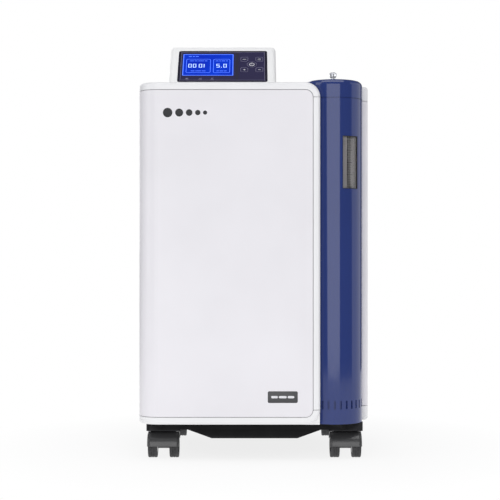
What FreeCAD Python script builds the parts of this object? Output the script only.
"""Wheeled oxygen concentrator, as a parametric document.

Frame: +Z up, the floor at z = 0, the front face towards -Y, the origin under the middle of the casing.
Every driving size is a cell of the sheet "Sizes"; the formulas below use the cells by name.
"""
import FreeCAD, Part
import math
import os
import re
import Sketcher

Vector = FreeCAD.Vector
Rotation = FreeCAD.Rotation

SIZES = {
    # casing
    "case_width": 369, "case_depth": 375, "case_top": 600, "corner_radius": 32, "wall": 3, "edge_round": 5,
    "rim_lip": 12, "seam": 0.8, "band": 12, "end_band": 11.5, "end_radius": 23.5, "end_inset": 23,
    "nose_gap": 8.5, "nose_radius": 8, "trim_depth": 31.5, "ring_room": 2.13, "over": 9, "lap": 0.5,
    # column at the front right corner
    "column_radius": 47, "column_wall": 2.5, "column_side": 10.5, "column_setback": 5, "column_gap": 1.5,
    "column_rise": 6, "dome_rise": 1.6, "cap_roof": 3, "spigot_gap": 0.3, "spigot_wall": 2, "spigot_low": 8,
    "spigot_high": 8, "boss_radius": 9, "window_width": 30, "window_height": 84, "window_drop": 168,
    "window_angle": 34, "vent_rise": 24, "vent_height": 13, "vent_width": 3, "vent_step": 12,
    # oxygen outlet on the column's cap
    "outlet_head": 5.6, "outlet_neck": 3.6, "outlet_bore": 1.8, "outlet_rise": 14, "outlet_band": 5,
    "outlet_depth": 14, "collar": 1.4, "press_clear": 0.05,
    # flow meter behind the window
    "meter_width": 29, "meter_depth": 16, "meter_height": 118, "meter_recess": 5.4, "meter_bore": 3.4,
    "meter_end": 8, "float_radius": 3.1, "float_height": 8, "bracket_margin": 7, "bracket_thick": 3,
    "ear_thick": 3, "float_clear": 0.05, "valve_size": 20, "valve_drop": 10, "valve_height": 24,
    # base tray
    "slab_inset": 27.5, "slab_rise": 3, "slab_thick": 11, "slab_corner": 20, "plate": 4, "plate_clear": 0.4,
    "notch_clear": 0.6, "sump_drop": 12.5, "sump_wall": 3, "sump_low_width": 138, "sump_high_width": 224,
    "sump_depth": 296, "pad_size": 55, "pad_corner": 6,
    # casters
    "caster_side": 38, "caster_end": 59.5, "trail": 12, "swivel_gap": 0.3, "boss_rise": 0.3,
    "wheel_radius": 20, "wheel_width": 15, "wheel_gap": 20, "axle_radius": 2.5, "axle_clear": 0.06,
    "stem_radius": 5.5, "hood_clear": 0.4, "fender_gap": 1.2, "fender_wall": 2.2, "fender_lap": 0.6,
    "axle_wall": 3, "stem_clear": 0.05, "stem_rise": 10, "stem_cover": 3,
    # console
    "console_inset": 131, "console_cheek": 14.75, "console_front": 105, "console_lip": 7, "face_angle": 42,
    "console_wall": 2.5, "pass_inset": 30, "pass_front": 22, "slope_margin": 11.5, "crest": 10,
    "back_run": 22, "console_round": 7, "fascia_thick": 2.4, "fascia_proud": 0.4, "fascia_corner": 4,
    "fascia_clear": 0.3, "ledge_side": 5, "ledge_end": 7, "screen_margin": 7.45, "screen_head": 9.35,
    "screen_sill": 18.15, "screen_width": 86, "screen_height": 64.5, "screen_thick": 6,
    "screen_corner": 1.5, "screen_clear": 0.2, "key_width": 13.4, "key_height": 14.4, "key_pitch": 25.4,
    "key_rise": 31, "power_key_radius": 8.2, "key_gap": 11.7, "key_margin": 6.55, "key_corner": 2,
    "key_clear": 0.25, "key_flange": 0.6, "key_proud": 0.2, "key_travel": 0.8, "key_thick": 4.4,
    "board_thick": 1.6, "post_radius": 2.4, "dome_radius": 3.2, "screen_sink": 0.3,
    # rear panel, filter door, inlet, switch and hand grip
    "door_inset": 114.5, "door_drop": 118, "door_width": 112, "door_height": 132, "door_thick": 3,
    "door_slots": 11, "door_margin": 10, "slot_height": 3.2, "slot_step": 9, "filter_thick": 14,
    "filter_gap": 2, "foam_clear": 0.4, "foam_gap": 1, "filter_lip": 6, "lip_thick": 2, "tray_wall": 2.5,
    "door_clear": 0.5, "notch_radius": 9, "notch_rise": 2, "vent_rows": 12, "exhaust_rise": 62,
    "vent_length": 104, "vent_pitch": 10, "vent_slot": 3.8, "inlet_inset": 89.5, "inlet_rise": 54,
    "inlet_width": 31, "inlet_height": 24, "inlet_depth": 24, "inlet_wall": 3, "inlet_base": 4,
    "inlet_sink": 0.2, "inlet_clear": 0.4, "flange_side": 5, "flange_thick": 2, "pin_width": 2,
    "pin_height": 4, "pin_pitch": 14, "pin_sink": 6, "switch_rise": 40, "switch_width": 28,
    "switch_height": 20, "switch_tilt": 8, "switch_depth": 20, "switch_clear": 0.3, "bezel_wall": 2.2,
    "bezel_base": 4, "pivot_depth": 7, "pivot_radius": 1.5, "pivot_clear": 0.06, "rocker_clear": 0.5,
    "rocker_swing": 1.7, "rocker_back": 3, "rocker_rise": 6, "rocker_hollow": 24, "rocker_dip": 0.8,
    "grip_x": 0, "grip_drop": 52, "grip_width": 118, "grip_height": 34, "grip_depth": 30, "grip_wall": 2.5,
    "grip_flange": 5, "screw_radius": 1.5, "screw_length": 11.2, "screw_clear": 0.2, "screw_head": 3.6,
    "head_thick": 2.6, "head_clear": 0.3, "sink_depth": 3.2, "drive_width": 1, "drive_length": 4.4,
    "drive_depth": 1.8, "screw_inset": 18, "screw_edge": 6, "screw_pad": 4.5, "seat_radius": 6,
    "block_width": 14, "block_depth": 17,
    # working parts inside
    "shelf_rise": 204, "shelf_thick": 4, "shelf_clear": 0.5, "leg_size": 16, "side_room": 16.5,
    "fan_side": 120, "fan_depth": 38, "tank_gap": 5, "fan_wall": 3, "tip_clear": 2.5, "hub_radius": 21,
    "fan_pin": 2.5, "spoke": 5.5, "pin_clear": 0.06, "fin_step": 8, "fin_thick": 1, "end_plate": 2,
    "cooler_thick": 24, "pass_radius": 4, "pass_pitch": 18, "bed_radius": 44, "bed_headroom": 91,
    "bed_margin": 3, "bed_gap": 4, "bed_rear_room": 22.5, "tie_radius": 3, "cap_height": 15,
    "valve_tall": 26, "valve_end": 20, "coil_radius": 14, "coil_length": 34, "port_radius": 5,
    "port_length": 12, "port_pitch": 34, "tank_radius": 40, "tank_headroom": 68, "tank_rear_room": 19.5,
    "tank_lift": 16, "dome_height": 10, "foot_rise": 10, "foot_gap": 12, "foot_thick": 4, "pump_y": 10,
    "motor_radius": 50, "motor_length": 108, "crankcase": 56, "shaft_radius": 6, "shaft_length": 262,
    "shaft_clear": 0.06, "barrel_radius": 26, "barrel_height": 44, "barrel_base": 42, "head_side": 72,
    "head_height": 20, "pump_fan_radius": 42, "mount_radius": 12, "mount_x": 52, "mount_y": 46,
    "head_port_rise": 10, "pump_side": 42, "canister_radius": 25, "canister_tall": 56, "muffler_radius": 20,
    "muffler_length": 90, "board_gap": 8, "board_long": 120, "board_tall": 180, "supply_long": 110,
    "supply_deep": 60, "supply_tall": 62, "hose_radius": 4.5,
}

DERIVED = {
    "left": "-case_width/2", "right": "case_width/2", "front": "-case_depth/2", "rear": "case_depth/2",
    # heights from the floor up: wheels, hoods, pads, slab, casing
    "axle_z": "wheel_radius", "pocket_radius": "wheel_radius + fender_gap",
    "fender_radius": "pocket_radius + fender_wall", "hood_top": "axle_z + fender_radius + boss_rise",
    "pad_bottom": "hood_top + swivel_gap", "hood_skirt": "axle_z", "stem_low": "axle_z + stem_rise",
    "slab_bottom": "pad_bottom + slab_rise", "case_bottom": "slab_bottom + slab_thick",
    "sump_bottom": "pad_bottom - sump_drop", "sump_floor": "sump_bottom + sump_wall",
    "plate_top": "case_bottom + wall + plate",
    # column and the casing's front end beside it
    "column_x": "right - column_side - column_radius", "column_y": "front + column_setback + column_radius",
    "column_clear": "column_radius + column_gap", "front_end": "column_x - end_inset",
    "nose_y": "column_y + nose_gap", "trim_rear": "front + trim_depth",
    "ring_front": "column_y - sqrt((column_clear + wall)^2 - (column_x - panel_right + gap)^2) - ring_room",
    "ring_left": "column_x - column_clear - wall - over",
    "ring_rear": "column_y + column_clear + wall + over", "end_centre": "front_end - end_radius",
    "panel_right": "front_end - end_band", "panel_round": "end_radius - end_band",
    "seam_top": "case_top - band", "seam_low": "case_bottom + band", "split_top": "case_top - end_radius",
    "split_low": "case_bottom + end_radius", "gap": "seam/2", "cap_top": "case_top + column_rise",
    "window_bottom": "case_top - window_drop", "vent_low": "case_bottom + vent_rise",
    "meter_face": "column_radius - meter_recess",
    "meter_low": "window_bottom + window_height/2 - meter_height/2",
    "slab_width": "case_width - 2*slab_inset", "slab_depth": "case_depth - 2*slab_inset",
    "caster_x": "case_width/2 - caster_side", "caster_y": "case_depth/2 - caster_end",
    "web_width": "wheel_gap - 2*hood_clear", "boss_round": "web_width/2 - hood_clear",
    # console
    "console_x": "left + console_inset", "console_base": "case_top",
    "console_foot_y": "front + console_front",
    "fascia_width": "screen_margin + screen_width + key_gap + key_pitch + key_width + key_margin",
    "fascia_height": "screen_head + screen_height + screen_sill",
    "console_width": "fascia_width + 2*console_cheek", "slope_length": "fascia_height + 2*slope_margin",
    "slope_y": "slope_length*cos(face_angle)", "slope_z": "slope_length*sin(face_angle)",
    "screen_x": "screen_margin + screen_width/2 - fascia_width/2",
    "screen_up": "fascia_height/2 - screen_head - screen_height/2",
    "key_x": "fascia_width/2 - key_margin - (key_pitch + key_width)/2", "key_up": "screen_up + 0.3",
    # rear face
    "rear_half": "right - corner_radius", "grip_z": "case_top - grip_drop", "door_z": "grip_z - door_drop",
    "door_x": "left + door_inset", "vent_z": "case_bottom + exhaust_rise", "inlet_x": "right - inlet_inset",
    "inlet_z": "case_bottom + inlet_rise", "switch_z": "inlet_z + switch_rise",
    # working parts
    "shelf_z": "case_bottom + shelf_rise", "shelf_top": "shelf_z + shelf_thick",
    "fan_x": "left + wall + side_room + fan_side/2", "fan_bore": "fan_side/2 - fan_wall",
    "rotor_radius": "fan_bore - tip_clear", "cap_side": "2*bed_radius + 2*bed_margin",
    "bed_pitch": "cap_side + bed_gap", "bed_x": "right - wall - side_room - cap_side/2 - bed_pitch",
    "bed_y": "rear - wall - bed_rear_room - cap_side/2", "bed_bottom": "shelf_top + cap_height",
    "bed_top": "case_top - bed_headroom", "bed_height": "bed_top - bed_bottom",
    "tank_x": "left + wall + side_room + tank_radius",
    "tank_y": "rear - wall - tank_rear_room - tank_radius",
    "fan_y": "tank_y - tank_radius - tank_gap - fan_side/2",
    "tank_height": "case_top - tank_headroom - shelf_top - tank_lift",
    "pump_z": "case_bottom + foot_rise + foot_gap + motor_radius",
}

doc = FreeCAD.newDocument("oxygen_concentrator")
sheet = doc.addObject("Spreadsheet::Sheet", "Sizes")
for row, (alias, value) in enumerate(SIZES.items(), 1):
    sheet.set(f"A{row}", alias)
    sheet.set(f"B{row}", str(value))
    sheet.setAlias(f"B{row}", alias)
doc.recompute()

PARTS = {}
count = {}


def formula(text):
    """The formula with derived names written out and every sheet name prefixed."""
    text = str(text)
    while True:
        wider = re.sub(r"\b[a-z_]+[a-z0-9_]*\b", lambda m: f"({DERIVED[m[0]]})" if m[0] in DERIVED else m[0],
                       text)
        if wider == text:
            break
        text = wider
    return re.sub(r"\b[a-z_]+[a-z0-9_]*\b", lambda m: f"Sizes.{m[0]}" if m[0] in SIZES else m[0], text)


def number(text):
    """The formula's value in millimetres or degrees."""
    return float(sheet.evalExpression(formula(text)))


def unique(name):
    count[name] = count.get(name, 0) + 1
    return f"{name}_{count[name]}"


def bind(obj, prop, text):
    obj.setExpression(prop, formula(text))


def place(obj, x, y, z, rotation=None):
    """Puts an object's own origin at a point given by three formulas."""
    if rotation is not None:
        obj.Placement = FreeCAD.Placement(Vector(), rotation)
    for axis, text in zip("xyz", (x, y, z)):
        bind(obj, f"Placement.Base.{axis}", text)
    return obj


def box(x0, x1, y0, y1, z0, z1, name="block"):
    """A block between six formulas."""
    obj = doc.addObject("Part::Box", unique(name))
    for prop, low, high in (("Length", x0, x1), ("Width", y0, y1), ("Height", z0, z1)):
        bind(obj, prop, f"({high}) - ({low})")
    return place(obj, x0, y0, z0)


AIMS = {"z": Rotation(), "x": Rotation(Vector(0, 1, 0), 90), "y": Rotation(Vector(1, 0, 0), -90)}


def rod(radius, length, x, y, z, aim="z", name="rod"):
    """A cylinder from a point, along +x, +y or +z."""
    obj = doc.addObject("Part::Cylinder", unique(name))
    bind(obj, "Radius", radius)
    bind(obj, "Height", length)
    return place(obj, x, y, z, AIMS[aim])


def cone(low_radius, high_radius, length, x, y, z, aim="z", name="cone"):
    obj = doc.addObject("Part::Cone", unique(name))
    bind(obj, "Radius1", low_radius)
    bind(obj, "Radius2", high_radius)
    bind(obj, "Height", length)
    return place(obj, x, y, z, AIMS[aim])


def cut(base, *tools, name="cut"):
    """base less one or more tools."""
    obj = doc.addObject("Part::Cut", unique(name))
    obj.Base = base
    obj.Tool = tools[0] if len(tools) == 1 else fuse(*tools)
    return obj


def fuse(*shapes, name="fuse"):
    obj = doc.addObject("Part::MultiFuse", unique(name))
    obj.Shapes = list(shapes)
    return obj


def common(first, second, name="common"):
    obj = doc.addObject("Part::Common", unique(name))
    obj.Base = first
    obj.Tool = second
    return obj


def group(*shapes, name="group"):
    """Several separate solids as one sub-part."""
    obj = doc.addObject("Part::Compound", unique(name))
    obj.Links = list(shapes)
    return obj


def keep(label, obj):
    """Names a finished sub-part, which becomes parts/label.step."""
    obj.Label = label
    PARTS[label] = obj
    return obj


# ---- sketches and bodies ----

def new_body(name):
    return doc.addObject("PartDesign::Body", unique(name))


def sketch_on(body, plane):
    sketch = body.newObject("Sketcher::SketchObject", unique("outline"))
    origin = next(f for f in body.Origin.OriginFeatures if f.Role == f"{plane}_Plane")
    sketch.AttachmentSupport = [(origin, "")]
    sketch.MapMode = "FlatFace"
    return sketch


def pin_point(sketch, geometry, position, x, y):
    """Ties a point of the sketch to two formulas."""
    for kind, text in (("DistanceX", x), ("DistanceY", y)):
        index = sketch.addConstraint(Sketcher.Constraint(kind, -1, 1, geometry, position, number(text)))
        sketch.setExpression(f"Constraints[{index}]", formula(text))


def outline(sketch, corners):
    """A closed outline through corners (x, y) or, where two axis-parallel sides meet, (x, y, radius)."""
    points = [(number(c[0]), number(c[1])) for c in corners]
    radii = [number(c[2]) if len(c) > 2 else 0.0 for c in corners]
    total = len(points)

    def towards(i, j):
        dx, dy = points[j][0] - points[i][0], points[j][1] - points[i][1]
        length = math.hypot(dx, dy)
        return dx / length, dy / length

    starts, ends = [], []
    for i in range(total):
        bx, by = towards(i, i - 1)
        ax, ay = towards(i, (i + 1) % total)
        starts.append((points[i][0] + ax * radii[i], points[i][1] + ay * radii[i]))
        ends.append((points[i][0] + bx * radii[i], points[i][1] + by * radii[i]))
    lines = []
    for i in range(total):
        a, b = starts[i], ends[(i + 1) % total]
        lines.append(sketch.addGeometry(Part.LineSegment(Vector(a[0], a[1], 0), Vector(b[0], b[1], 0))))
    for i in range(total):
        before, after = lines[i - 1], lines[i]
        if not radii[i]:
            sketch.addConstraint(Sketcher.Constraint("Coincident", before, 2, after, 1))
            pin_point(sketch, after, 1, corners[i][0], corners[i][1])
            continue
        bx, by = towards(i, i - 1)
        ax, ay = towards(i, (i + 1) % total)
        sx, sy = round(ax + bx), round(ay + by)
        radius = radii[i]
        centre = Vector(points[i][0] + sx * radius, points[i][1] + sy * radius, 0)
        first = math.atan2(ends[i][1] - centre.y, ends[i][0] - centre.x)
        last = math.atan2(starts[i][1] - centre.y, starts[i][0] - centre.x)
        anticlockwise = (last - first) % (2 * math.pi) < math.pi
        circle = Part.Circle(centre, Vector(0, 0, 1), radius)
        low, high = (first, last) if anticlockwise else (last, first)
        arc = sketch.addGeometry(Part.ArcOfCircle(circle, low, high))
        arc_start, arc_end = (1, 2) if anticlockwise else (2, 1)
        sketch.addConstraint(Sketcher.Constraint("Tangent", before, 2, arc, arc_start))
        sketch.addConstraint(Sketcher.Constraint("Tangent", arc, arc_end, after, 1))
        index = sketch.addConstraint(Sketcher.Constraint("Radius", arc, radius))
        sketch.setExpression(f"Constraints[{index}]", formula(corners[i][2]))
        signs = {1: "+", -1: "-"}
        pin_point(sketch, arc, 3, f"{corners[i][0]} {signs[sx]} ({corners[i][2]})",
                  f"{corners[i][1]} {signs[sy]} ({corners[i][2]})")


def prism(plane, corners, low, high, name="prism"):
    """A body padded from a closed outline, between two heights along the plane's own axis."""
    body = new_body(name)
    sketch = sketch_on(body, plane)
    outline(sketch, corners)
    pad = body.newObject("PartDesign::Pad", unique("pad"))
    pad.Profile = sketch
    bind(pad, "Length", f"({high}) - ({low})")
    axis, base = {"XY": ("z", low), "XZ": ("y", high), "YZ": ("x", low)}[plane]
    bind(body, f"Placement.Base.{axis}", base)
    return body


def turned(points, name="turned"):
    """A body revolved about its own X axis from a profile of (axial, radial) formulas."""
    body = new_body(name)
    sketch = sketch_on(body, "XY")
    outline(sketch, points)
    turn = body.newObject("PartDesign::Revolution", unique("turn"))
    turn.Profile = sketch
    turn.ReferenceAxis = (sketch, ["H_Axis"])
    turn.Angle = 360
    return body


def soften(body, radius, wanted):
    """Fillets the edges of a body's newest feature that the test picks."""
    doc.recompute()
    base = body.Tip
    names = [f"Edge{i}" for i, edge in enumerate(base.Shape.Edges, 1) if wanted(edge)]
    fillet = body.newObject("PartDesign::Fillet", unique("fillet"))
    fillet.Base = (base, names)
    bind(fillet, "Radius", radius)
    return body


def on_plane(edge, axis, text):
    """Whether an edge lies wholly in the plane where that coordinate has the formula's value."""
    spots = [getattr(v.Point, axis) for v in edge.Vertexes]
    spots.append(getattr(edge.valueAt((edge.FirstParameter + edge.LastParameter) / 2), axis))
    return all(abs(s - number(text)) < 1e-4 for s in spots)


# ---- casing: one master shell, sliced into its covers at the seams ----

def case_solid(inset, low, high, rounded):
    """The casing's outer form, or with an inset its hollow: a rear block and a front slab whose right end is rounded."""
    rear_block = prism("XY", [
        (f"left + {inset}", f"nose_y + {inset}", f"nose_radius - {inset}"),
        (f"right - {inset}", f"nose_y + {inset}", f"nose_radius - {inset}"),
        (f"right - {inset}", f"rear - {inset}", f"corner_radius - {inset}"),
        (f"left + {inset}", f"rear - {inset}", f"corner_radius - {inset}"),
    ], low, high, name="rear_block")
    front_slab = prism("XZ", [
        (f"left + {inset}", low),
        (f"front_end - {inset}", low, f"end_radius - {inset}"),
        (f"front_end - {inset}", high, f"end_radius - {inset}"),
        (f"left + {inset}", high),
    ], f"front + {inset}", "nose_y + wall + nose_radius", name="front_slab")
    soften(front_slab, f"corner_radius - {inset}", lambda e: front_left_corner(e, front_slab))
    if rounded:
        soften(rear_block, "edge_round", level_edge)
        soften(front_slab, "edge_round", lambda e: slab_rim(e, front_slab))
    return fuse(rear_block, front_slab, name="case_form")


def ends_of(edge):
    """The edge's two ends and its middle."""
    middle = edge.valueAt((edge.FirstParameter + edge.LastParameter) / 2)
    return [v.Point for v in edge.Vertexes] + [middle]


def front_left_corner(edge, body):
    """The upright edge where the front slab's front face meets its left side."""
    box_of = body.Tip.Shape.BoundBox
    spots = ends_of(edge)
    return all(abs(p.x - box_of.XMin) < 1e-3 and abs(p.y - box_of.YMin) < 1e-3 for p in spots)


def level_edge(edge):
    """Whether an edge lies in one horizontal plane."""
    spots = ends_of(edge)
    return max(p.z for p in spots) - min(p.z for p in spots) < 1e-3


def slab_rim(edge, body):
    """The outline of the slab's front face and, down its left side, the top and bottom edges."""
    box_of = body.Tip.Shape.BoundBox
    spots = ends_of(edge)
    back = all(abs(p.y - box_of.YMax) < 1e-3 for p in spots)
    on_front = all(abs(p.y - box_of.YMin) < 1e-3 for p in spots)
    on_left = all(p.x < box_of.XMin + number("corner_radius") + 1e-3 for p in spots) and level_edge(edge)
    joins_corner = abs(spots[0].z - spots[1].z) > 50 and abs(spots[0].x - box_of.XMax) > 1
    return (on_front or on_left) and not back and not joins_corner


outer = case_solid("0", "case_bottom", "case_top", True)
hollow = case_solid("wall", "case_bottom + wall", "case_top - wall", False)
TALL = ("case_bottom - 40", "case_top + 40")
column_space = rod("column_clear", "case_top + 80", "column_x", "column_y", "0")
column_ring = rod("column_clear + wall", "case_top + 80", "column_x", "column_y", "0")


def floor_plan(inset, low, high):
    """The casing's floor area, drawn in by an inset and kept clear of the column's corner."""
    return prism("XY", [(f"left + {inset}", f"front + {inset}", f"corner_radius - {inset}"),
                        (f"end_centre + 3 - {inset}", f"front + {inset}"),
                        (f"end_centre + 3 - {inset}", f"nose_y + {inset}"),
                        (f"right - {inset}", f"nose_y + {inset}", "nose_radius - wall"),
                        (f"right - {inset}", f"rear - {inset}", f"corner_radius - {inset}"),
                        (f"left + {inset}", f"rear - {inset}", f"corner_radius - {inset}")],
                 low, high, name="floor_plan")


floor_opening = cut(floor_plan("rim_lip", "case_bottom - over", "case_bottom + wall + over"), column_ring)
shell = cut(cut(outer, column_space), cut(hollow, column_ring), floor_opening, name="master_shell")


def front_zone(grow):
    """The front cover's outline seen from the front, grown by a formula, through the whole depth."""
    return prism("XZ", [
        ("left - over", f"seam_low - ({grow})"),
        (f"panel_right + ({grow})", f"seam_low - ({grow})", f"panel_round + ({grow})"),
        (f"panel_right + ({grow})", f"seam_top + ({grow})", f"panel_round + ({grow})"),
        ("left - over", f"seam_top + ({grow})"),
    ], "front - over", "rear + over", name="front_zone")


behind_middle = box("-rear_half - gap", "right + over", "rear - corner_radius", "rear + over", *TALL)
ring_zone = box("ring_left", "panel_right + over", "ring_front", "ring_rear", *TALL)
front_cover = cut(common(shell, front_zone("-gap")), behind_middle, ring_zone, name="front_side")
keep("front_side_cover", front_cover)

BETWEEN_SPLITS = ("split_low + gap", "split_top - gap")
end_zone = box("panel_right + gap", "front_end + over", "front - over", "trim_rear", *BETWEEN_SPLITS)
keep("front_end_trim", common(shell, end_zone))

side_zone = fuse(
    box("rear_half + gap", "right + over", "trim_rear", "rear + over", *BETWEEN_SPLITS),
    box("ring_left", "rear_half + over", "trim_rear + seam", "ring_rear", *BETWEEN_SPLITS),
    box("ring_left", "panel_right - gap", "ring_front + seam", "trim_rear + over", *BETWEEN_SPLITS))
keep("right_side_cover", common(shell, side_zone))

rear_zone = box("-rear_half + gap", "rear_half - gap", "rear - wall - 1", "rear + over", "seam_low + gap",
                "seam_top - gap")
rear_sheet = common(shell, rear_zone, name="rear_sheet")

rear_strip = box("-rear_half - gap", "rear_half + gap", "rear - wall - 1", "rear + over", "seam_low - gap",
                 "seam_top + gap")
top_zone = cut(box("left - over", "right + over", "front - over", "rear + over", "split_top + gap",
                   "case_top + over"),
               front_zone("gap"), rear_strip)
top_shell = common(shell, top_zone, name="top_shell")
low_zone = cut(box("left - over", "right + over", "front - over", "rear + over", "case_bottom - over",
                   "split_low - gap"),
               front_zone("gap"), rear_strip)
low_shell = common(shell, low_zone, name="low_shell")
corner_web = cut(box("end_centre + gap", "front_end - seam", "front + wall + seam", "front + 2*wall + seam",
                     "case_bottom", "split_low - 3*seam"), column_space)
SCREW_X = ("-rear_half + screw_inset", "0", "rear_half - screw_inset")
SCREW_SPOTS = [(x, z) for x in SCREW_X for z in ("seam_low + screw_edge", "seam_top - screw_edge")]


def screw_block(x, z0, z1):
    """A block behind the rear panel's edge that takes one of its screws."""
    return box(f"{x} - block_width/2", f"{x} + block_width/2", "rear - wall - block_depth",
               "rear - wall - screw_pad - 0.1", z0, z1)


screw_bores = [rod("screw_radius", "screw_length + 3", x, "rear - wall - screw_length - 3", z, "y")
               for x, z in SCREW_SPOTS]
low_blocks = [screw_block(x, "case_bottom + 1", "seam_low + 2*screw_edge") for x in SCREW_X]
keep("lower_rim", cut(fuse(low_shell, corner_web, *low_blocks), *screw_bores))

console_hole = box("console_x - console_width/2 + pass_inset", "console_x + console_width/2 - pass_inset",
                   "console_foot_y + pass_front", "console_foot_y + slope_y", "case_top - over",
                   "case_top + over")
high_blocks = [screw_block(x, "seam_top - 2*screw_edge", "case_top - 1") for x in SCREW_X]
keep("top_cover", cut(fuse(top_shell, *high_blocks), console_hole, *screw_bores))


# ---- rear panel: intake door opening, exhaust slots, inlet and switch holes, hand grip ----

def rear_hole(x, z, width, height):
    """A hole through the rear panel, centred at (x, z)."""
    return box(f"{x} - {width}/2", f"{x} + {width}/2", "rear - wall - over", "rear + over",
               f"{z} - {height}/2",
               f"{z} + {height}/2")


def framed_block(x, z, width, height, grow, y0, y1):
    """A block centred at (x, z) on the rear face, grown by a formula all round, between two depths."""
    return box(f"{x} - {width}/2 - ({grow})", f"{x} + {width}/2 + ({grow})", y0, y1,
               f"{z} - {height}/2 - ({grow})", f"{z} + {height}/2 + ({grow})")


DOOR = ("door_x", "door_z", "door_width", "door_height")
INLET = ("inlet_x", "inlet_z", "inlet_width", "inlet_height")
SWITCH = ("inlet_x", "switch_z", "switch_width", "switch_height")
GRIP = ("grip_x", "grip_z", "grip_width", "grip_height")

vents = [rear_hole("door_x", f"(vent_z + vent_slot/2 + {i}*vent_pitch)", "vent_length", "vent_slot")
         for i in range(SIZES["vent_rows"])]
grip_space = framed_block(*GRIP, "0", "rear - grip_depth", "rear + over")
grip_shell = framed_block(*GRIP, "grip_wall", "rear - grip_depth - grip_wall", "rear - wall")
grip_rim = framed_block(*GRIP, "grip_wall + grip_flange", "rear - wall - flange_thick", "rear - wall")
keep("hand_grip", cut(fuse(grip_shell, grip_rim), grip_space))

FILTER_BACK = "rear - wall - filter_gap - filter_thick"
tray_outer = framed_block(*DOOR, "tray_wall", FILTER_BACK, "rear - wall + lap")
tray_inner = framed_block(*DOOR, "0", f"{FILTER_BACK} - over", "rear")
tray_lip = cut(framed_block(*DOOR, "tray_wall", f"{FILTER_BACK} - lip_thick", FILTER_BACK),
               framed_block(*DOOR, "-filter_lip", f"{FILTER_BACK} - over", "rear"))
screw_pads = [rod("seat_radius", "screw_pad + lap", x, "rear - wall - screw_pad", z, "y")
              for x, z in SCREW_SPOTS]
screw_holes = [rod("screw_radius + screw_clear", "3*over", x, "rear - 2*over", z, "y")
               for x, z in SCREW_SPOTS]
screw_sinks = [rod("screw_head + head_clear", "over", x, "rear - sink_depth", z, "y")
               for x, z in SCREW_SPOTS]
rear_body = cut(fuse(rear_sheet, tray_outer, *screw_pads), rear_hole(*DOOR), tray_inner, grip_space,
                rear_hole(*INLET), rear_hole(*SWITCH), *vents, *screw_holes, *screw_sinks)
keep("rear_panel", fuse(rear_body, tray_lip))

panel_screws = []
for x, z in SCREW_SPOTS:
    head = rod("screw_head", "head_thick", x, "rear - sink_depth + 0.05", z, "y")
    shank = rod("screw_radius", "screw_length + wall - sink_depth + 0.2", x, "rear - wall - screw_length", z, "y")
    cross = [box(f"{x} - {a}/2", f"{x} + {a}/2", "rear - drive_depth", "rear + over", f"{z} - {b}/2",
                 f"{z} + {b}/2")
             for a, b in (("drive_width", "drive_length"), ("drive_length", "drive_width"))]
    panel_screws.append(cut(fuse(head, shank), *cross))
keep("panel_screws", group(*panel_screws))

door_plate = framed_block(*DOOR, "-door_clear", "rear - door_thick", "rear")
SLOT_LOW = "door_z - (door_slots - 1)/2*slot_step - slot_height/2"
door_louvres = [box("door_x - door_width/2 + door_margin", "door_x + door_width/2 - door_margin",
                    "rear - over",
                    "rear + over", f"{SLOT_LOW} + {i}*slot_step",
                    f"{SLOT_LOW} + {i}*slot_step + slot_height")
                for i in range(SIZES["door_slots"])]
finger_notch = rod("notch_radius", "2*over", "door_x", "rear - over", "door_z + door_height/2 + notch_rise",
                   "y")
keep("filter_door", cut(door_plate, finger_notch, *door_louvres))
keep("intake_filter", framed_block(*DOOR, "-foam_gap", FILTER_BACK, "rear - door_thick - foam_clear"))

# mains inlet with its three pins, and the rocker switch above it
inlet_flange = framed_block(*INLET, "flange_side", "rear - wall - flange_thick", "rear - wall")
inlet_body = framed_block(*INLET, "-inlet_clear", "rear - inlet_depth", "rear - inlet_sink")
inlet_socket = framed_block(*INLET, "-inlet_wall", "rear - inlet_depth + inlet_base", "rear + over")
pins = [framed_block(f"(inlet_x + {side}*pin_pitch/2)", f"(inlet_z + {rise})", "pin_width", "pin_height",
                     "0",
                   "rear - inlet_depth - inlet_base", "rear - pin_sink")
        for side, rise in ((-1, 2.5), (1, 2.5), (0, 4.5))]
keep("mains_inlet", fuse(cut(fuse(inlet_flange, inlet_body), inlet_socket), *pins))

# the bezel is clipped into the panel; the rocker turns in it on a level pivot
SWITCH_PIVOT = "rear - pivot_depth"
switch_out = framed_block(*SWITCH, "-switch_clear", "rear - switch_depth", "rear - inlet_sink")
switch_in = framed_block(*SWITCH, "-switch_clear - bezel_wall", "rear - switch_depth + bezel_base",
                         "rear + over")
pivot_hole = rod("pivot_radius + pivot_clear", "switch_width + over", "inlet_x - switch_width/2 - over/2",
                 SWITCH_PIVOT, "switch_z", "x")
keep("switch_bezel", cut(switch_out, switch_in, pivot_hole))
ROCKER_HALF = "(switch_width/2 - switch_clear - bezel_wall - rocker_clear)"
ROCKER_TALL = "(switch_height/2 - switch_clear - bezel_wall - rocker_swing)"
PIVOT_HALF = "(switch_width/2 - 1)"
rocker = fuse(box(f"-{ROCKER_HALF}", ROCKER_HALF, "-rocker_back", "rocker_rise", f"-{ROCKER_TALL}",
                  ROCKER_TALL),
              rod("pivot_radius", f"2*{PIVOT_HALF}", f"-{PIVOT_HALF}", "0", "0", "x"))
rocker_face = rod("rocker_hollow", "switch_width", "-switch_width/2",
                  "rocker_rise + rocker_hollow - rocker_dip",
                  "0", "x")
place(keep("switch_rocker", cut(rocker, rocker_face)), "inlet_x", SWITCH_PIVOT, "switch_z",
      Rotation(Vector(1, 0, 0), -SIZES["switch_tilt"]))


# ---- column ----

WINDOW_TURN = Rotation(Vector(0, 0, 1), SIZES["window_angle"])


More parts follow.
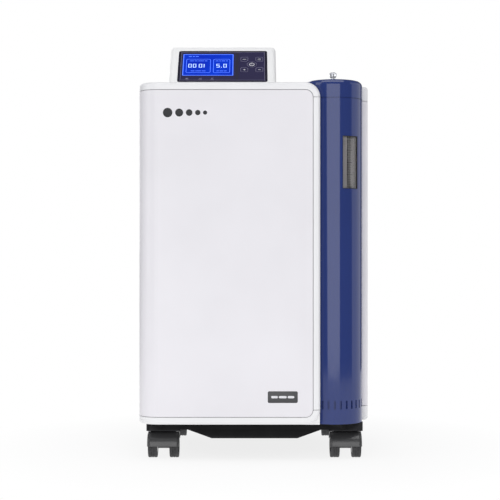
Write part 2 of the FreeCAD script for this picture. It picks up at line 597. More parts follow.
def beside_window(across, low, high, inner, outer_face):
    """A block centred on the window's direction, between two radii from the column's axis."""
    obj = doc.addObject("Part::Box", unique("window_block"))
    bind(obj, "Length", across)
    bind(obj, "Width", f"({outer_face}) - ({inner})")
    bind(obj, "Height", f"({high}) - ({low})")
    obj.Placement = FreeCAD.Placement(Vector(), WINDOW_TURN)
    bind(obj, "Placement.Rotation.Angle", "window_angle")
    bind(obj, "Placement.Base.x",
         f"column_x + ({outer_face})*sin(window_angle) - ({across})/2*cos(window_angle)")
    bind(obj, "Placement.Base.y",
         f"column_y - ({outer_face})*cos(window_angle) - ({across})/2*sin(window_angle)")
    bind(obj, "Placement.Base.z", low)
    return obj


def radial_slot(steps):
    """A vent slot through the column's wall, some steps round from the front, positive to the right."""
    angle = f"({steps}*vent_step)"
    obj = doc.addObject("Part::Box", unique("vent"))
    bind(obj, "Length", "vent_width")
    bind(obj, "Width", "2*column_wall + over")
    bind(obj, "Height", "vent_height")
    obj.Placement = FreeCAD.Placement(Vector(), Rotation(Vector(0, 0, 1), steps * SIZES["vent_step"]))
    bind(obj, "Placement.Base.x",
         f"column_x + (column_radius + column_wall)*sin({angle}) - vent_width/2*cos({angle})")
    bind(obj, "Placement.Base.y",
         f"column_y - (column_radius + column_wall)*cos({angle}) - vent_width/2*sin({angle})")
    bind(obj, "Placement.Base.z", "vent_low")
    return obj


tube = cut(rod("column_radius", "split_top - gap - case_bottom", "column_x", "column_y", "case_bottom"),
           rod("column_radius - column_wall", "case_top", "column_x", "column_y", "0"))
window = beside_window("window_width", "window_bottom", "window_bottom + window_height", "column_radius/2",
                       "column_radius + over")
column_vents = [radial_slot(i) for i in range(-2, 8)]
keep("column_shell", cut(tube, window, *column_vents))

CAP_LOW = "split_top + gap"
CAP_TALL = "cap_top - split_top - gap"
cap_body = turned([("0", "outlet_neck + press_clear"),
                   (f"{CAP_TALL} + dome_rise", "outlet_neck + press_clear"),
                   (f"{CAP_TALL} + dome_rise", "boss_radius + 1"), (CAP_TALL, "column_radius - 7"),
                   (f"{CAP_TALL} - 0.6", "column_radius - 5"), (f"{CAP_TALL} - 2.4", "column_radius - 2.4"),
                   (f"{CAP_TALL} - 5", "column_radius - 0.6"), (f"{CAP_TALL} - 8", "column_radius"),
                   ("0", "column_radius")], name="cap_solid")
place(cap_body, "column_x", "column_y", CAP_LOW, Rotation(Vector(0, 1, 0), -90))
cap_hollow = rod("column_radius - column_wall", "cap_top - cap_roof - split_top", "column_x", "column_y",
                 "split_top")
cap_boss = rod("boss_radius", "outlet_depth + cap_roof + cap_roof", "column_x", "column_y",
               "cap_top - outlet_depth - 2*cap_roof")
cap_bore = rod("outlet_neck + press_clear", "column_radius", "column_x", "column_y",
               "cap_top - column_radius + over")
SPIGOT = "(column_radius - column_wall - spigot_gap)"
spigot_hole = rod(f"{SPIGOT} - spigot_wall", "case_top", "column_x", "column_y", "0")
spigot = rod(SPIGOT, "spigot_low + spigot_high", "column_x", "column_y", "split_top - spigot_low")
spigot_link = rod("column_radius - column_wall + 1", "spigot_high/2", "column_x", "column_y",
                  "split_top + spigot_high/2")
spigot_ring = cut(fuse(spigot, spigot_link), spigot_hole)
keep("column_cap", fuse(cut(fuse(cut(cap_body, cap_hollow), cap_boss), cap_bore), spigot_ring))

# the outlet: a collar on the cap, a neck and a rounded head that tubing pushes over
HEAD_LOW = "outlet_rise - 1.6 - outlet_band"
outlet = turned([("-outlet_depth", "outlet_bore"), ("outlet_rise", "outlet_bore"),
                 ("outlet_rise", "outlet_head - 1.8"),
                 ("outlet_rise - 0.5", "outlet_head - 0.7"), ("outlet_rise - 1.6", "outlet_head"),
                 (HEAD_LOW, "outlet_head"), (f"{HEAD_LOW} - 1.6", "outlet_neck + 0.4"),
                 ("collar + 0.8", "outlet_neck + 0.4"), ("collar + 0.2", "outlet_head + collar"),
                 ("0", "outlet_head + collar"), ("0", "outlet_neck"), ("-outlet_depth", "outlet_neck")],
                 name="outlet")
place(keep("oxygen_outlet", outlet), "column_x", "column_y", "cap_top + dome_rise",
      Rotation(Vector(0, 1, 0), -90))

# flow meter: a clear block with a bore, end ports, a float and the bracket that carries it
METER_BACK = "meter_face - meter_depth"
METER_TOP = "meter_low + meter_height"
meter_block = beside_window("meter_width", "meter_low", METER_TOP, METER_BACK, "meter_face")


def meter_rod(radius, length, low, outward="meter_face - meter_depth/2"):
    """An upright rod at a radius from the column's axis, in the window's direction."""
    return rod(radius, length, f"column_x + ({outward})*sin(window_angle)",
               f"column_y - ({outward})*cos(window_angle)", low)


keep("flowmeter_block", cut(meter_block, meter_rod("meter_bore", "meter_height - 2*meter_end",
                                                   "meter_low + meter_end")))
FLOAT_REST = "meter_low + meter_end + float_clear"
keep("flow_float", fuse(meter_rod("float_radius/2", "float_height - 1.6", FLOAT_REST),
                        meter_rod("float_radius", "float_height/2", f"{FLOAT_REST} + 3")))
BRACKET_WIDTH = "meter_width + 2*bracket_margin"
BRACKET_BACK = f"{METER_BACK} - bracket_thick"
bracket = beside_window(BRACKET_WIDTH, "meter_low - 2*ear_thick", f"{METER_TOP} + 2*ear_thick", BRACKET_BACK,
                        METER_BACK)
ears = [beside_window(BRACKET_WIDTH, low, f"{low} + ear_thick", BRACKET_BACK, "meter_face - 6")
        for low in ("meter_low - 2*ear_thick", f"{METER_TOP} + ear_thick")]
arm = beside_window("10", "meter_low + 20", "meter_low + 32", "-(column_radius - column_wall - 0.4)",
                    BRACKET_BACK)
keep("flowmeter_bracket", fuse(bracket, *ears, arm))
VALVE_MIDDLE = f"{METER_BACK} + 1"
valve_body = beside_window("valve_size", "meter_low - valve_drop - valve_height", "meter_low - valve_drop",
                           f"{VALVE_MIDDLE} - valve_size/2", f"{VALVE_MIDDLE} + valve_size/2")
valve_stem = meter_rod("5", "valve_drop - ear_thick - ear_thick", "meter_low - valve_drop", VALVE_MIDDLE)
valve_knob = meter_rod("7", "14", "meter_low - valve_drop - valve_height - 12", VALVE_MIDDLE)
keep("flow_valve", fuse(valve_body, valve_knob, valve_stem))


# ---- base tray ----

def upright_slab(x, y, width, depth, radius, low, high, name):
    """A rounded upright block centred at (x, y)."""
    return prism("XY", [(f"{x} - {width}/2", f"{y} - {depth}/2", radius),
                        (f"{x} + {width}/2", f"{y} - {depth}/2", radius),
                        (f"{x} + {width}/2", f"{y} + {depth}/2", radius),
                        (f"{x} - {width}/2", f"{y} + {depth}/2", radius)], low, high, name=name)


def sump_form(inset, floor, top):
    """The sump's outer form, or its hollow when drawn in by an inset: narrow below and wide above."""
    return prism("XZ", [(f"-sump_low_width/2 + {inset}", floor), (f"sump_low_width/2 - {inset}", floor),
                        (f"sump_high_width/2 - {inset}", f"slab_bottom + {inset}"),
                        (f"sump_high_width/2 - {inset}", top),
                        (f"-sump_high_width/2 + {inset}", top), (f"-sump_high_width/2 + {inset}",
                                                                 f"slab_bottom + {inset}")],
                 f"-sump_depth/2 + {inset}", f"sump_depth/2 - {inset}", name="sump")


CORNERS = {"front_left": (-1, -1), "front_right": (1, -1), "rear_left": (-1, 1), "rear_right": (1, 1)}
SWIVELS = {corner: (f"({sx}*caster_x)", f"({sy}*caster_y)") for corner, (sx, sy) in CORNERS.items()}
slab = upright_slab("0", "0", "slab_width", "slab_depth", "slab_corner", "slab_bottom", "case_bottom",
                    "slab")
plates = [floor_plan("(rim_lip + plate_clear)", "case_bottom - 1", "case_bottom + wall + 1"),
          floor_plan("(wall + plate_clear)", "case_bottom + wall", "plate_top")]
column_keepout = rod("column_clear + wall + plate_clear", "case_top", "column_x", "column_y",
                     "case_bottom - over")
column_plug = rod(SPIGOT, "plate + 2*wall", "column_x", "column_y", "case_bottom - 1")
pads = [upright_slab(x, y, "pad_size", "pad_size", "pad_corner", "pad_bottom", "case_bottom", "pad")
        for x, y in SWIVELS.values()]
stem_holes = [rod("stem_radius", "case_bottom - stem_cover + 1", x, y, "0") for x, y in SWIVELS.values()]
block_notches = [box(f"{x} - block_width/2 - notch_clear", f"{x} + block_width/2 + notch_clear",
                     "rear - wall - block_depth - notch_clear", "rear", "slab_bottom", "plate_top + over")
                 for x in SCREW_X]
tray = cut(fuse(slab, sump_form("0", "sump_bottom", "slab_bottom + 2"), cut(fuse(*plates), column_keepout),
                column_plug,
                *pads), sump_form("sump_wall", "sump_floor", "case_bottom + 2*over"), *stem_holes,
                *block_notches)
keep("base_tray", tray)


# ---- casters: hood with its pressed axle, two wheels each, all on stems held by the tray ----

keep("caster_stems", group(*[rod("stem_radius", "case_bottom - stem_cover - stem_low", x, y, "stem_low",
                                 name="stem")
                             for x, y in SWIVELS.values()]))
HOOD_HALF = "(wheel_gap/2 + wheel_width + fender_lap)"
AXLE_Y = "-trail"
FAR = "2*wheel_radius + 3*trail"


def hood(x, y):
    """A fender over both wheels, a web between them, and a boss for the stem. Origin at the swivel axis on the floor."""
    cover = rod("fender_radius", f"2*{HOOD_HALF}", f"-{HOOD_HALF}", AXLE_Y, "axle_z", "x")
    pockets = [rod("pocket_radius", "wheel_width + over", at, AXLE_Y, "axle_z", "x")
               for at in ("web_width/2", "-web_width/2 - wheel_width - over")]
    skirt = box(f"-({FAR})", FAR, f"-({FAR})", FAR, "-over", "hood_skirt")
    tail = box(f"-({FAR})", FAR, "-trail + over", FAR, "0", "axle_z + stem_rise")
    boss = rod("boss_round", "hood_top - axle_z", "0", "0", "axle_z")
    axle_boss = rod("axle_radius + axle_wall", "web_width", "-web_width/2", AXLE_Y, "axle_z", "x")
    web_fill = box("-web_width/2", "web_width/2", "-trail", "boss_round", "hood_skirt", "axle_z + stem_rise")
    bore = rod("stem_radius + stem_clear", "hood_top", "0", "0", "stem_low - 0.2")
    axle_bore = rod("axle_radius", f"4*{HOOD_HALF}", f"-2*{HOOD_HALF}", AXLE_Y, "axle_z", "x")
    body = cut(fuse(cut(cover, *pockets, skirt, tail), boss, axle_boss, web_fill), bore, axle_bore)
    axle = rod("axle_radius", "wheel_gap + 2*wheel_width - 5", "-wheel_gap/2 - wheel_width + 2.5", AXLE_Y,
               "axle_z", "x")
    return place(group(body, axle), x, y, "0")


def wheel(x, y, outward):
    """One wheel turned about its axle; its outer face is domed and its tread is rounded."""
    body = turned([("0", "axle_radius + axle_clear"), ("0", "wheel_radius - 1.5"), ("1.5", "wheel_radius"),
                   ("wheel_width - 4", "wheel_radius"), ("wheel_width - 1.6", "wheel_radius - 1.6"),
                   ("wheel_width - 0.4", "wheel_radius - 5"), ("wheel_width - 0.4", "wheel_radius - 8"),
                   ("wheel_width - 2", "wheel_radius - 8.6"),
                   ("wheel_width - 2", "axle_radius + axle_clear")],
                  name="wheel")
    spin = Rotation() if outward > 0 else Rotation(Vector(0, 0, 1), 180)
    return place(body, f"{x} + {outward}*wheel_gap/2", f"{y} + {AXLE_Y}", "axle_z", spin)


for corner, (x, y) in SWIVELS.items():
    keep(f"caster_{corner}_hood", hood(x, y))
    keep(f"caster_{corner}_wheel_left", wheel(x, y, -1))
    keep(f"caster_{corner}_wheel_right", wheel(x, y, 1))


# ---- console: sloped housing, fascia, screen, five keys and their board ----

def console_profile(inset):
    """The console's side outline as (y, z), drawn in by an inset; its foot stays on the top cover."""
    top = f"console_base + console_lip + slope_z - ({inset})"
    return [(f"console_foot_y + ({inset})", "console_base"),
            (f"console_foot_y + ({inset})", f"console_base + console_lip - 0.4*({inset})"),
            (f"console_foot_y + slope_y + 0.4*({inset})", top),
            (f"console_foot_y + slope_y + crest - 0.6*({inset})", top),
            (f"console_foot_y + slope_y + crest + back_run - ({inset})", "console_base")]


def along_crest(edge):
    """The console's outer edges, apart from those on its foot and around the sloped face's lower lip."""
    middle = edge.valueAt((edge.FirstParameter + edge.LastParameter) / 2)
    return not on_plane(edge, "z", "console_base") and middle.z > number("console_base") + 1


console_outer = prism("YZ", console_profile("0"), "console_x - console_width/2",
                      "console_x + console_width/2",
                      name="console_outer")
soften(console_outer, "console_round", along_crest)
console_inner = prism("YZ", console_profile("console_wall + 1"),
                      "console_x - console_width/2 + console_wall",
                      "console_x + console_width/2 - console_wall", name="console_inner")
FACE_Y = "console_foot_y + slope_y/2"
FACE_Z = "console_base + console_lip + slope_z/2"
TILT = Rotation(Vector(1, 0, 0), SIZES["face_angle"])


def on_face(obj, across, up, out):
    """Places an object by its corner in the sloped face's own axes: across, up the slope, and out of it."""
    obj.Placement = FreeCAD.Placement(Vector(), TILT)
    bind(obj, "Placement.Rotation.Angle", "face_angle")
    bind(obj, "Placement.Base.x", f"console_x + ({across})")
    bind(obj, "Placement.Base.y", f"{FACE_Y} + ({up})*cos(face_angle) - ({out})*sin(face_angle)")
    bind(obj, "Placement.Base.z", f"{FACE_Z} + ({up})*sin(face_angle) + ({out})*cos(face_angle)")
    return obj


def face_block(x0, x1, u0, u1, w0, w1):
    obj = doc.addObject("Part::Box", unique("face_block"))
    for prop, low, high in (("Length", x0, x1), ("Width", u0, u1), ("Height", w0, w1)):
        bind(obj, prop, f"({high}) - ({low})")
    return on_face(obj, x0, u0, w0)


def face_slab(x, u, width, height, radius, low, high):
    """A rounded plate on the sloped face, centred at (x, u), between two depths."""
    body = prism("XY", [("-(" + width + ")/2", "-(" + height + ")/2", radius),
                        ("(" + width + ")/2", "-(" + height + ")/2", radius),
                        ("(" + width + ")/2", "(" + height + ")/2", radius),
                        ("-(" + width + ")/2", "(" + height + ")/2", radius)], "0", f"({high}) - ({low})")
    return on_face(body, x, u, low)


def face_rod(x, u, radius, low, high):
    obj = doc.addObject("Part::Cylinder", unique("face_rod"))
    bind(obj, "Radius", radius)
    bind(obj, "Height", f"({high}) - ({low})")
    return on_face(obj, x, u, low)


FASCIA_LOW = "fascia_proud - fascia_thick"
fascia_seat = face_slab("0", "0", "fascia_width + 2*fascia_clear", "fascia_height + 2*fascia_clear",
                        "fascia_corner", FASCIA_LOW, "over")
face_opening = face_slab("0", "0", "fascia_width - 2*ledge_side", "fascia_height - 2*ledge_end",
                         "fascia_corner", "-over", "over")
console_body = cut(cut(console_outer, console_inner), fascia_seat, face_opening)
keep("console_housing", console_body)

LEFT_KEYS = "key_x - key_pitch/2"
RIGHT_KEYS = "key_x + key_pitch/2"
HIGH_KEYS = "key_up + key_rise/2"
LOW_KEYS = "key_up - key_rise/2"
KEYS = {"power": ("key_x", "key_up"), "mode": (LEFT_KEYS, HIGH_KEYS), "timer": (RIGHT_KEYS, HIGH_KEYS),
        "plus": (LEFT_KEYS, LOW_KEYS), "minus": (RIGHT_KEYS, LOW_KEYS)}
SCREEN = ("screen_x", "screen_up")


def key_shape(name, grow, low, high):
    """A key's outline grown by a formula, between two depths; the power key is round."""
    x, u = KEYS[name]
    if name == "power":
        return face_rod(x, u, f"power_key_radius + ({grow})", low, high)
    return face_slab(x, u, f"key_width + 2*({grow})", f"key_height + 2*({grow})", f"key_corner + ({grow})",
                     low, high)


fascia = face_slab("0", "0", "fascia_width", "fascia_height", "fascia_corner - fascia_clear", FASCIA_LOW,
                   "fascia_proud")
screen_hole = face_slab(*SCREEN, "screen_width", "screen_height", "screen_corner", "-over", "over")
key_holes = [key_shape(name, "key_clear", "-over", "over") for name in KEYS]
keep("console_fascia", cut(fascia, screen_hole, *key_holes))
screen_glass = face_slab(*SCREEN, "screen_width - 2*screen_clear", "screen_height - 2*screen_clear",
                         "screen_corner - screen_clear", FASCIA_LOW, "fascia_proud - screen_sink")
screen_box = face_slab(*SCREEN, "screen_width + 2", "screen_height + 2", "screen_corner",
                       f"{FASCIA_LOW} - screen_thick", FASCIA_LOW)
keep("lcd_screen", fuse(screen_glass, screen_box))
KEY_TOP = "fascia_proud + key_proud"
for name in KEYS:
    button = key_shape(name, "0", f"{KEY_TOP} - key_thick", KEY_TOP)
    flange = key_shape(name, "key_flange", f"{KEY_TOP} - key_thick", f"{FASCIA_LOW} - 0.1")
    keep(f"key_{name}", fuse(button, flange))
BOARD_TOP = f"{FASCIA_LOW} - screen_thick"
POST_UP = "(fascia_height/2 - ledge_end - 2*post_radius - 1)"
POST_SIDE = "(fascia_width/2 - ledge_side - 2*post_radius - 3.5)"
board = face_slab("0", "0", "fascia_width - 2*ledge_side - 6", "fascia_height - 2*ledge_end - 6", "2",
                  f"{BOARD_TOP} - board_thick", BOARD_TOP)
domes = [face_rod(*KEYS[name], "dome_radius", BOARD_TOP, f"{KEY_TOP} - key_thick - key_travel - 0.1")
         for name in KEYS]
posts = [face_rod(x, f"{side}*{POST_UP}", "post_radius", BOARD_TOP, FASCIA_LOW)
         for x, side in ((f"-{POST_SIDE}", -1), (POST_SIDE, -1), (POST_SIDE, 1),
                         ("screen_x + screen_width/2 + 2*post_radius + 1.2", 1))]
keep("console_board", fuse(board, *domes, *posts))


# ---- working parts inside ----

# shelf that closes the compressor's chamber; the fan blows down through it
BY_SHELF = ("shelf_z - over", "shelf_top + over")


def shelf_corner(x, y):
    """What the shelf loses at one of the casing's rounded corners, given by the signs of its place."""
    middle_x = f"{x}*(case_width/2 - corner_radius)"
    middle_y = f"{y}*(case_depth/2 - corner_radius)"
    edges_x = (middle_x, f"{x}*case_width/2")[::x]
    edges_y = (middle_y, f"{y}*case_depth/2")[::y]
    return cut(box(*edges_x, *edges_y, *BY_SHELF),
               rod("corner_radius - wall - shelf_clear", "case_top", middle_x, middle_y, "0"))


shelf_plate = box("left + wall + shelf_clear", "right - wall - shelf_clear", "front + wall + 4*shelf_clear",
                  "rear - wall - shelf_clear", "shelf_z", "shelf_top")
shelf_corners = [shelf_corner(x, y) for x, y in ((-1, -1), (-1, 1), (1, 1))]
shelf_notch = box("end_centre - 1", "right + over", "front - over", "nose_y + wall + nose_radius + 1",
                  *BY_SHELF)
shelf_ring = rod("column_clear + wall + shelf_clear", "case_top", "column_x", "column_y", "0")
fan_hole = rod("fan_bore", "shelf_thick + 2*over", "fan_x", "fan_y", "shelf_z - over")
LEG_LEFT = "left + wall + side_room"
LEG_FRONT = "front + wall + 1.5*leg_size"
LEG_SPOTS = ((LEG_LEFT, f"{LEG_FRONT} + leg_size/2"), (LEG_LEFT, "rear - wall - 2*leg_size"),
             ("right - wall - side_room", "60"), ("column_x - column_clear - wall - leg_size", LEG_FRONT))
legs = [box(f"{x} - leg_size/2", f"{x} + leg_size/2", f"{y} - leg_size/2", f"{y} + leg_size/2", "plate_top",
            "shelf_z + 1") for x, y in LEG_SPOTS]
keep("shelf", fuse(cut(shelf_plate, shelf_notch, shelf_ring, fan_hole, *shelf_corners), *legs))

FAN_LEFT = "fan_x - fan_side/2"
FAN_RIGHT = "fan_x + fan_side/2"
FAN_FRONT = "fan_y - fan_side/2"
FAN_REAR = "fan_y + fan_side/2"
FAN_TOP = "shelf_top + fan_depth"
fan_block = box(FAN_LEFT, FAN_RIGHT, FAN_FRONT, FAN_REAR, "shelf_top", FAN_TOP)
fan_tunnel = rod("fan_bore", "fan_depth + 2*over", "fan_x", "fan_y", "shelf_top - over")
fan_hub_seat = rod("hub_radius", "spoke", "fan_x", "fan_y", "shelf_top")
spokes = [box(f"fan_x - {a}", f"fan_x + {a}", f"fan_y - {b}", f"fan_y + {b}", "shelf_top",
              "shelf_top + spoke")
          for a, b in (("(fan_bore + 2)", "spoke/2"), ("spoke/2", "(fan_bore + 2)"))]
fan_pin = rod("fan_pin", "fan_depth - 10", "fan_x", "fan_y", "shelf_top + spoke/2")
keep("fan_frame", fuse(cut(fan_block, fan_tunnel), fan_hub_seat, fan_pin, *spokes))


def bladed(hub_radius, tip_radius, depth, blades, pitch, thick, bore):
    """A fan wheel about local Z with flat pitched blades; its origin is the middle of the hub's lower face."""
    hub = rod(hub_radius, depth, "0", "0", "0")
    vanes = []
    for i in range(blades):
        vane = doc.addObject("Part::Box", unique("vane"))
        bind(vane, "Length", f"({tip_radius}) - ({hub_radius}) + 3")
        bind(vane, "Width", f"({depth})*0.9/sin({pitch})*0.8")
        bind(vane, "Height", thick)
        turn = Rotation(Vector(0, 0, 1), 360 * i / blades)
        tip = Rotation(Vector(1, 0, 0), pitch)
        vane.Placement = FreeCAD.Placement(
            turn.multVec(Vector(number(hub_radius) - 3, -number(f"({depth})*0.36/sin({pitch})*cos({pitch})"),
                                number(f"({depth})*0.12"))), turn * tip)
        bind(vane, "Placement.Base.x", f"(({hub_radius}) - 3)*cos({360 * i / blades}) + "
             f"(({depth})*0.36/sin({pitch})*cos({pitch}))*sin({360 * i / blades})")
        bind(vane, "Placement.Base.y", f"(({hub_radius}) - 3)*sin({360 * i / blades}) - "
             f"(({depth})*0.36/sin({pitch})*cos({pitch}))*cos({360 * i / blades})")
        vanes.append(vane)
    return cut(fuse(hub, *vanes), rod(bore, f"({depth}) + 40", "0", "0", "-20"))


fan_rotor = bladed("hub_radius", "rotor_radius", "fan_depth - 10", 7, 42, "2", "fan_pin + pin_clear")
place(keep("fan_rotor", fan_rotor), "fan_x", "fan_y", "shelf_top + spoke + 0.5")

# the cooler: a flat serpentine tube between two end plates above the fan
COOLER_Z = "shelf_top + fan_depth + cooler_thick/2"
end_plates = [box(low, f"{low} + end_plate", FAN_FRONT, FAN_REAR, FAN_TOP, f"{FAN_TOP} + cooler_thick")
              for low in (FAN_LEFT, f"{FAN_RIGHT} - end_plate")]
passes = [rod("pass_radius", "fan_side", FAN_LEFT, f"fan_y + ({i} - 2.5)*pass_pitch", COOLER_Z, "x")
          for i in range(6)]
fins = [box(f"{FAN_LEFT} + {i}*fin_step", f"{FAN_LEFT} + {i}*fin_step + fin_thick", f"{FAN_FRONT} + 4",
            f"{FAN_REAR} - 4", f"{FAN_TOP} + 2", f"{FAN_TOP} + cooler_thick - 2")
        for i in range(1, int(SIZES["fan_side"] / SIZES["fin_step"]))]
bends = []
for i in range(5):
    side = 1 if i % 2 == 0 else -1
    ring = doc.addObject("Part::Torus", unique("bend"))
    bind(ring, "Radius1", "pass_pitch/2")
    bind(ring, "Radius2", "pass_radius")
    place(ring, f"fan_x + {side}*fan_side/2", f"fan_y + ({i} - 2)*pass_pitch", COOLER_Z)
    ends = (FAN_RIGHT, f"{FAN_RIGHT} + pass_pitch") if side > 0 else (f"{FAN_LEFT} - pass_pitch", FAN_LEFT)
    bends.append(common(ring, box(*ends, "fan_y - fan_side", "fan_y + fan_side", "shelf_top", "case_top")))
keep("air_cooler", fuse(*end_plates, *passes, *fins, *bends))

# twin molecular sieve beds between shared end caps, with the valve block on top
BEDS = ["bed_x", "bed_x + bed_pitch"]
keep("sieve_canisters", group(*[rod("bed_radius", "bed_height", x, "bed_y", "bed_bottom", name="canister")
                                for x in BEDS]))
caps = []
for z in ("shelf_top", "bed_top"):
    blocks = [box(f"{x} - cap_side/2", f"{x} + cap_side/2", "bed_y - cap_side/2", "bed_y + cap_side/2", z,
                  f"{z} + cap_height") for x in BEDS]
    caps.append(fuse(*blocks, box("bed_x", "bed_x + bed_pitch", "bed_y - valve_end", "bed_y + valve_end", z,
                            f"{z} + cap_height")))
TIE = "(cap_side/2 - tie_radius - 2)"
ties = [rod("tie_radius", "bed_height", f"{x} + {sx}*{TIE}", f"bed_y + {sy}*{TIE}", "bed_bottom")
        for x in BEDS for sx in (-1, 1) for sy in (-1, 1)]
keep("sieve_end_caps", fuse(*caps, *ties))
VALVE_Z = "bed_top + cap_height"
VALVE_TOP = f"{VALVE_Z} + valve_tall"
valve_base = box("bed_x - valve_end", "bed_x + bed_pitch + valve_end", "bed_y - 22", "bed_y + 22", VALVE_Z,
                 VALVE_TOP)
coils = [rod("coil_radius", "coil_length", x, "bed_y - 22 - coil_length", f"{VALVE_Z} + coil_radius", "y")
         for x in BEDS]
ports = [rod("port_radius", "port_length", f"bed_x + bed_pitch/2 + {k}*port_pitch", "bed_y", VALVE_TOP)
         for k in (-1, 0, 1)]
keep("valve_block", fuse(valve_base, *coils, *ports))

TANK_LOW = "shelf_top + tank_lift"
TANK_HIGH = f"{TANK_LOW} + tank_height"
tank_barrel = rod("tank_radius", "tank_height", "tank_x", "tank_y", TANK_LOW)
tank_ends = [cone("tank_radius - 14", "tank_radius", "dome_height", "tank_x", "tank_y",
                  f"{TANK_LOW} - dome_height"),
             cone("tank_radius", "tank_radius - 14", "dome_height", "tank_x", "tank_y", TANK_HIGH),
             rod("7", "14", "tank_x", "tank_y", f"{TANK_HIGH} + dome_height - 2"),
             rod("tank_radius - 16", "tank_lift - dome_height + 1", "tank_x", "tank_y", "shelf_top")]
keep("product_tank", fuse(tank_barrel, *tank_ends))

# twin-head compressor on four soft mounts in the sump
PUMP_FOOT = "pump_z - motor_radius - foot_gap"
FOOT_TOP = f"{PUMP_FOOT} + foot_thick"
BARREL_LOW = "pump_z + barrel_base"
BARREL_TOP = f"{BARREL_LOW} + barrel_height"
PUMP_SPOTS = [f"{k}*(motor_length + crankcase)/2" for k in (-1, 1)]
PORT_LENGTH = "port_length + 2"
motor = rod("motor_radius", "motor_length", "-motor_length/2", "pump_y", "pump_z", "x")
cases = [box(f"{x} - crankcase/2", f"{x} + crankcase/2", "pump_y - pump_side", "pump_y + pump_side",
             "pump_z - pump_side - 3", BARREL_LOW) for x in PUMP_SPOTS]
foot = box("-motor_length/2 - crankcase", "motor_length/2 + crankcase",
           "pump_y - mount_y - mount_radius - 4",
           "pump_y + mount_y + mount_radius + 4", PUMP_FOOT, FOOT_TOP)
saddles = [box(f"{x} - crankcase/4", f"{x} + crankcase/4", "pump_y - pump_side + 6",
               "pump_y + pump_side - 6",
               f"{FOOT_TOP} - lap", "pump_z - pump_side") for x in PUMP_SPOTS]
shaft_bore = rod("shaft_radius + shaft_clear", "2*shaft_length", "-shaft_length", "pump_y", "pump_z", "x")
keep("compressor_body", cut(fuse(motor, *cases, foot, *saddles), shaft_bore))
heads = []
for x in PUMP_SPOTS:
    barrel = rod("barrel_radius", "barrel_height", x, "pump_y", BARREL_LOW)
    rings = [rod("barrel_radius + 5", "2", x, "pump_y", f"{BARREL_LOW} + barrel_height*({i} + 2)/8")
             for i in range(5)]
    head = box(f"{x} - head_side/2", f"{x} + head_side/2", "pump_y - head_side/2", "pump_y + head_side/2",
               BARREL_TOP, f"{BARREL_TOP} + head_height")
    port = rod("port_radius", PORT_LENGTH, x, f"pump_y - head_side/2 - ({PORT_LENGTH})",
               f"{BARREL_TOP} + head_port_rise", "y")
    heads.append(fuse(barrel, *rings, head, port))
keep("compressor_heads", group(*heads))
pump_fans = []
for k in (-1, 1):
    wheel_fan = bladed("14", "pump_fan_radius", "16", 8, 50, "1.6", "shaft_radius - 1")
    place(wheel_fan, f"{k}*(shaft_length/2 - 10) - 8", "pump_y", "pump_z", Rotation(Vector(0, 1, 0), 90))
    pump_fans.append(wheel_fan)
shaft = rod("shaft_radius", "shaft_length", "-shaft_length/2", "pump_y", "pump_z", "x")
keep("compressor_rotor", fuse(shaft, *pump_fans))
mounts = [rod("mount_radius", f"{PUMP_FOOT} - (sump_floor)", f"{sx}*mount_x", f"pump_y + {sy}*mount_y",
              "sump_floor")
          for sx in (-1, 1) for sy in (-1, 1)]
keep("compressor_mounts", group(*mounts))

# filters, muffler, boards
CANISTER = ("door_x + 15", f"{FILTER_BACK} - canister_radius - 31")
CANISTER_LOW = "door_z - canister_tall - 6"
keep("inlet_filter_canister", fuse(
    rod("canister_radius", "canister_tall", *CANISTER, CANISTER_LOW),
    rod("canister_radius - 4", "8", *CANISTER, f"{CANISTER_LOW} - 8"),
    rod("6", "18", *CANISTER, f"{CANISTER_LOW} + canister_tall"),
    box("door_x + 6", "door_x + 24", f"{FILTER_BACK} - canister_radius - 15", f"{FILTER_BACK} - lip_thick",
        f"{CANISTER_LOW} - 6", f"{CANISTER_LOW} + 6")))
MUFFLER = ("rear - wall - muffler_radius - 5", "plate_top + muffler_radius + 19")
MUFFLER_LEFT = "left + wall + side_room + 15"
MUFFLER_FEET = [f"{MUFFLER_LEFT} + muffler_length*{share}" for share in (0.38, 0.81)]
keep("exhaust_muffler", fuse(
    rod("muffler_radius", "muffler_length", MUFFLER_LEFT, *MUFFLER, "x"),
    rod("6", "14", f"{MUFFLER_LEFT} + muffler_length", *MUFFLER, "x"),
    *[box(f"{x} - 7", f"{x} + 7", f"{MUFFLER[0]} - 7", f"{MUFFLER[0]} + 7", "plate_top", "plate_top + 24")
      for x in MUFFLER_FEET]))
BOARD_X = "left + wall + board_gap"
BOARD_Y = "front + 57.5"
BOARD_Z = "shelf_top + 74"
CHIPS = ((16, 10, 30, 140, 30), (10, 50, 30, 130, 30), (22, 10, 36, 20, 40), (8, 70, 36, 10, 30),
         (12, 60, 30, 70, 30))
board_plate = box(BOARD_X, f"{BOARD_X} + board_thick", BOARD_Y, f"{BOARD_Y} + board_long", BOARD_Z,
                  f"{BOARD_Z} + board_tall")
chips = [box(f"{BOARD_X} + board_thick", f"{BOARD_X} + board_thick + {h}", f"{BOARD_Y} + {y}",
             f"{BOARD_Y} + {y + length}",
             f"{BOARD_Z} + {z}", f"{BOARD_Z} + {z + tall}") for h, y, length, z, tall in CHIPS]
standoffs = [rod("3", "board_gap + 0.1", "left + wall", f"{BOARD_Y} + {y}", f"{BOARD_Z} + {z}", "x")
             for y in ("6", "board_long - 6") for z in ("6", "board_tall - 6")]
keep("control_board", fuse(board_plate, *chips, *standoffs))
SUPPLY_LEFT = "left + wall + side_room + 15"
SUPPLY_FRONT = "front + wall + 14.5"
SUPPLY_TOP = "shelf_top + supply_tall"
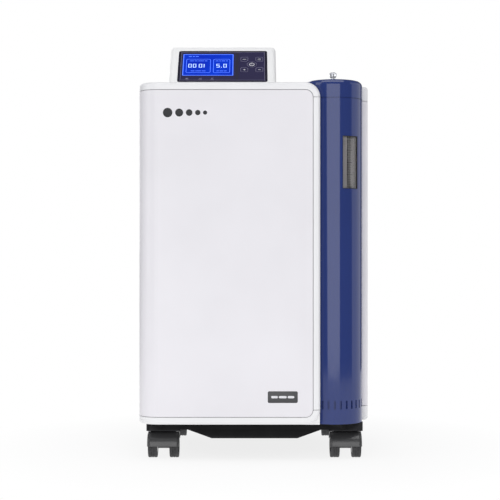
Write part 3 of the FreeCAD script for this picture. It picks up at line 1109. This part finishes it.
keep("power_supply", fuse(
    box(SUPPLY_LEFT, f"{SUPPLY_LEFT} + supply_long", SUPPLY_FRONT, f"{SUPPLY_FRONT} + supply_deep",
        "shelf_top", SUPPLY_TOP),
    *[box(f"{SUPPLY_LEFT} + 4 + {12 * i}", f"{SUPPLY_LEFT} + 7 + {12 * i}", f"{SUPPLY_FRONT} + 2",
          f"{SUPPLY_FRONT} + supply_deep - 2", SUPPLY_TOP, f"{SUPPLY_TOP} + 8") for i in range(9)]))


# ---- hoses: straight runs joined by tangent arcs ----

def hose(points, radius):
    """A tube along a route of points, each corner an arc as large as its two runs allow."""
    spots = [Vector(*[number(c) for c in p]) for p in points]
    edges = []
    at = spots[0]
    for i in range(1, len(spots) - 1):
        a, b, c = spots[i - 1], spots[i], spots[i + 1]
        back, ahead = (a - b), (c - b)
        turn = math.pi - back.getAngle(ahead)
        run = min(back.Length, ahead.Length) * 0.45
        start = b + back.normalize() * run
        end = b + ahead.normalize() * run
        bend = run / math.tan(turn / 2)
        towards = (back + ahead).normalize()
        middle = b + towards * (bend / math.cos(turn / 2) - bend)
        edges.append(Part.LineSegment(at, start).toShape())
        edges.append(Part.Arc(start, middle, end).toShape())
        at = end
    edges.append(Part.LineSegment(at, spots[-1]).toShape())
    path = Part.Wire(edges)
    ring = Part.Wire(Part.Circle(spots[0], spots[1] - spots[0], number(radius)).toShape())
    obj = doc.addObject("Part::Feature", unique("hose"))
    obj.Shape = path.makePipeShell([ring], True, False, 2)
    return obj


PORT_Z = f"{BARREL_TOP} + head_port_rise"
PORT_Y = f"pump_y - head_side/2 - ({PORT_LENGTH})"
LEFT_PORT, RIGHT_PORT = PUMP_SPOTS
TANK_PORT = f"{TANK_HIGH} + dome_height + 12"
BED_PORT = "bed_x + bed_pitch/2 - port_pitch"
BED_PORT_TOP = f"{VALVE_TOP} + port_length"
keep("air_hoses", group(
    hose([(LEFT_PORT, PORT_Y, PORT_Z), (LEFT_PORT, f"{PORT_Y} - 24", PORT_Z),
          (f"{LEFT_PORT} + 38", f"{PORT_Y} - 46", PORT_Z), (f"{RIGHT_PORT} - 38", f"{PORT_Y} - 46", PORT_Z),
          (RIGHT_PORT, f"{PORT_Y} - 24", PORT_Z), (RIGHT_PORT, PORT_Y, PORT_Z)], "hose_radius"),
    hose([("tank_x", "tank_y", TANK_PORT), ("tank_x", "tank_y", f"{TANK_PORT} + 22"),
          ("tank_x + 40", "tank_y - 6", f"{TANK_PORT} + 28"),
          (f"{BED_PORT} - 49", "bed_y", f"{BED_PORT_TOP} + 2"), (BED_PORT, "bed_y", f"{BED_PORT_TOP} + 14"),
          (BED_PORT, "bed_y", BED_PORT_TOP)], "hose_radius - 0.5")))

doc.recompute()
os.makedirs("parts", exist_ok=True)
faults = [o.Name for o in doc.Objects if "Invalid" in o.State or "Error" in o.State]
if faults:
    raise SystemExit(f"objects that failed to build: {faults}")
for label, obj in PARTS.items():
    if obj.Shape.isNull() or not obj.Shape.isValid() or not obj.Shape.Solids:
        raise SystemExit(f"{label} has no valid solid")
for label, obj in PARTS.items():
    obj.Shape.exportStep(f"parts/{label}.step")
print(len(PARTS), "sub-parts")
